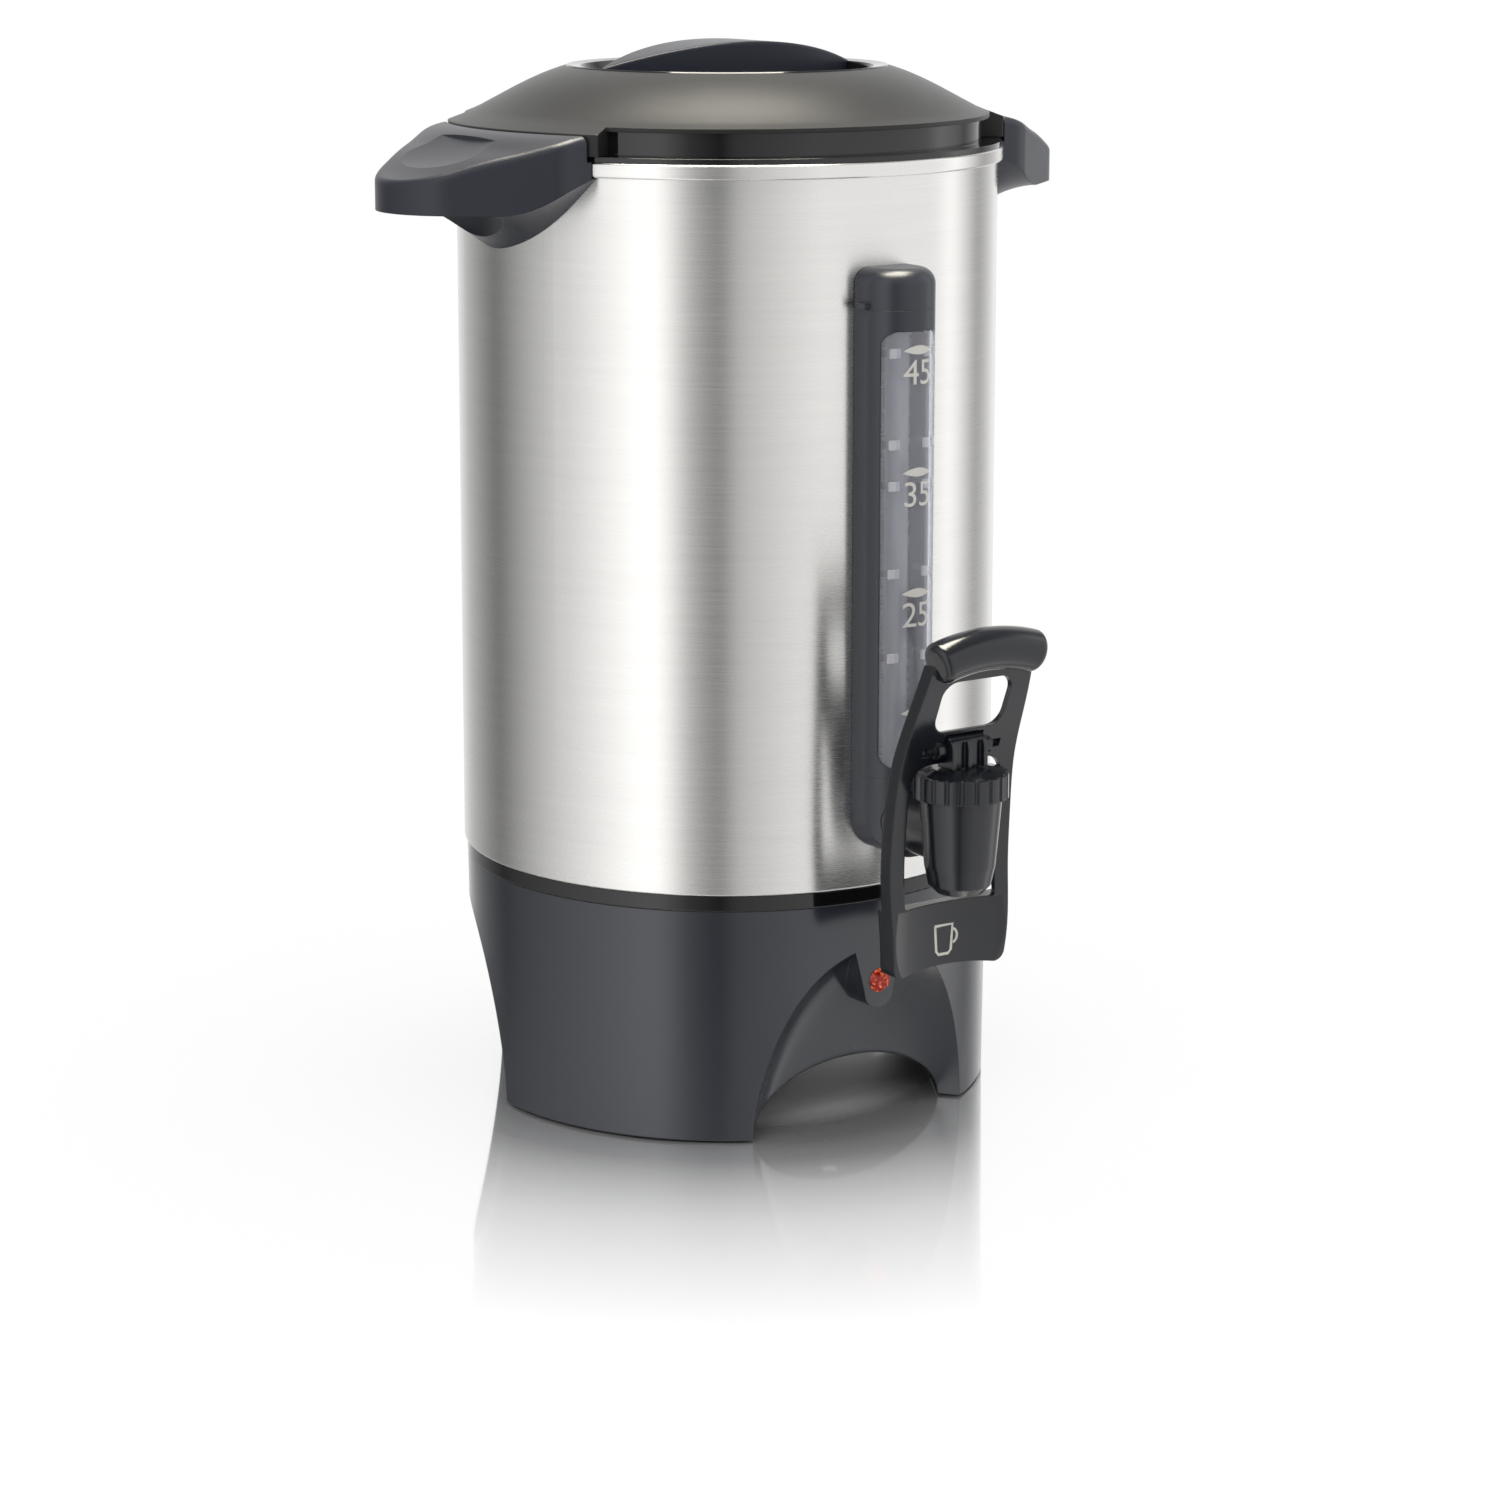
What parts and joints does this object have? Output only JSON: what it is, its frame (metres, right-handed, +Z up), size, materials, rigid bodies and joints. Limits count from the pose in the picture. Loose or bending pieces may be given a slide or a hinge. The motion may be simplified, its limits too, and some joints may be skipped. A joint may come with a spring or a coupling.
{
  "type": "coffee urn",
  "caption": "Electric coffee urn: steel body on a black arched base, gauge with scale, push-lever tap, side handles, domed lid and percolator basket.",
  "frame": {"origin": "on the surface it stands on, on the axis of the steel body", "axes": "+Z up, the tap and gauge face -Y, the side handles lie along X"},
  "size_m": [0.296, 0.2752, 0.4014],
  "materials": {
    "base_plastic": "matte, finely grained",
    "gloss_black": "high gloss",
    "satin_black": "satin",
    "tap_black": "satin",
    "lid_black": "matte with a fine sparkle",
    "steel": "brushed round the body",
    "inner_steel": "satin",
    "clear_window": "clear",
    "tube_glass": "clear",
    "lens_red": "clear red, faceted",
    "lamp_glass": "clear",
    "screw_steel": "bright",
    "foot_rubber": "matte",
    "seal_silicone": "matte",
    "heater_metal": "satin",
    "shield_steel": "galvanised",
    "pin_brass": "satin",
    "basket_metal": "satin",
    "switch_body": "plain"
  },
  "bodies": {
    "urn": {"base_shell": "base_plastic", "base_ring": "gloss_black", "bottom_cover": "shield_steel", "cover_screws": "screw_steel", "rubber_feet": "foot_rubber", "tank_studs": "screw_steel", "stud_nuts": "screw_steel", "indicator_lens": "lens_red", "indicator_lamp": "lamp_glass", "power_inlet": "satin_black", "inlet_pins": "pin_brass", "inlet_screws": "screw_steel", "steel_body": "steel", "heating_well": "inner_steel", "brew_heater": "heater_metal", "keep_warm_heater": "heater_metal", "heat_shield": "shield_steel", "well_stud": "screw_steel", "well_nut": "screw_steel", "thermostat": "switch_body", "thermal_fuse": "heater_metal", "right_handle": "satin_black", "left_handle": "satin_black", "handle_screws": "screw_steel", "gauge_housing": "satin_black", "gauge_base": "satin_black", "gauge_window": "clear_window", "sight_tube": "tube_glass", "tube_seals": "seal_silicone", "gauge_screws": "screw_steel", "tap_body": "tap_black", "shank_gasket": "seal_silicone", "shank_nut": "satin_black", "bonnet": "tap_black"},
    "lid": {"lid_band": "gloss_black", "lid_dome": "lid_black", "lid_dish": "gloss_black", "lid_grip": "satin_black", "lid_liner": "inner_steel", "lid_screws": "screw_steel"},
    "basket": {"coffee_basket": "basket_metal", "basket_cover": "basket_metal", "pump_tube": "basket_metal", "pump_foot": "basket_metal", "valve_washer": "inner_steel"},
    "gauge_cap_body": {"gauge_cap": "satin_black"},
    "stem": {"tap_stem": "screw_steel", "seat_cup": "seal_silicone", "stem_head": "tap_black", "lever_pin": "screw_steel", "stem_spring": "screw_steel"},
    "lever": {"tap_lever": "tap_black"}
  },
  "joints": [
    {"name": "lid_lift", "type": "slide", "parent": "urn", "child": "lid", "axis": [0, 0, 1], "range_m": [0, 0.6]},
    {"name": "basket_lift", "type": "slide", "parent": "urn", "child": "basket", "axis": [0, 0, 1], "range_m": [0, 0.3]},
    {"name": "gauge_cap_lift", "type": "slide", "parent": "urn", "child": "gauge_cap_body", "axis": [0, 0, 1], "range_m": [0, 0.028]},
    {"name": "stem_lift", "type": "slide", "parent": "urn", "child": "stem", "axis": [0, 0, 1], "range_m": [0, 0.0035], "deforming": ["stem_spring"]},
    {"name": "lever_tilt", "type": "hinge", "parent": "stem", "child": "lever", "pos_m": [0, -0.1489, 0.156], "axis": [1, 0, 0], "range_deg": [0, 15], "stiffness_Nm_per_rad": 0.4, "springref_deg": -20.05}
  ],
  "couplings": [
    {"joint": "stem_lift", "follows": "lever_tilt", "m_per_rad": 0.012},
    {"joint": "basket_lift", "follows": "lid_lift", "ratio": 0.5}
  ]
}
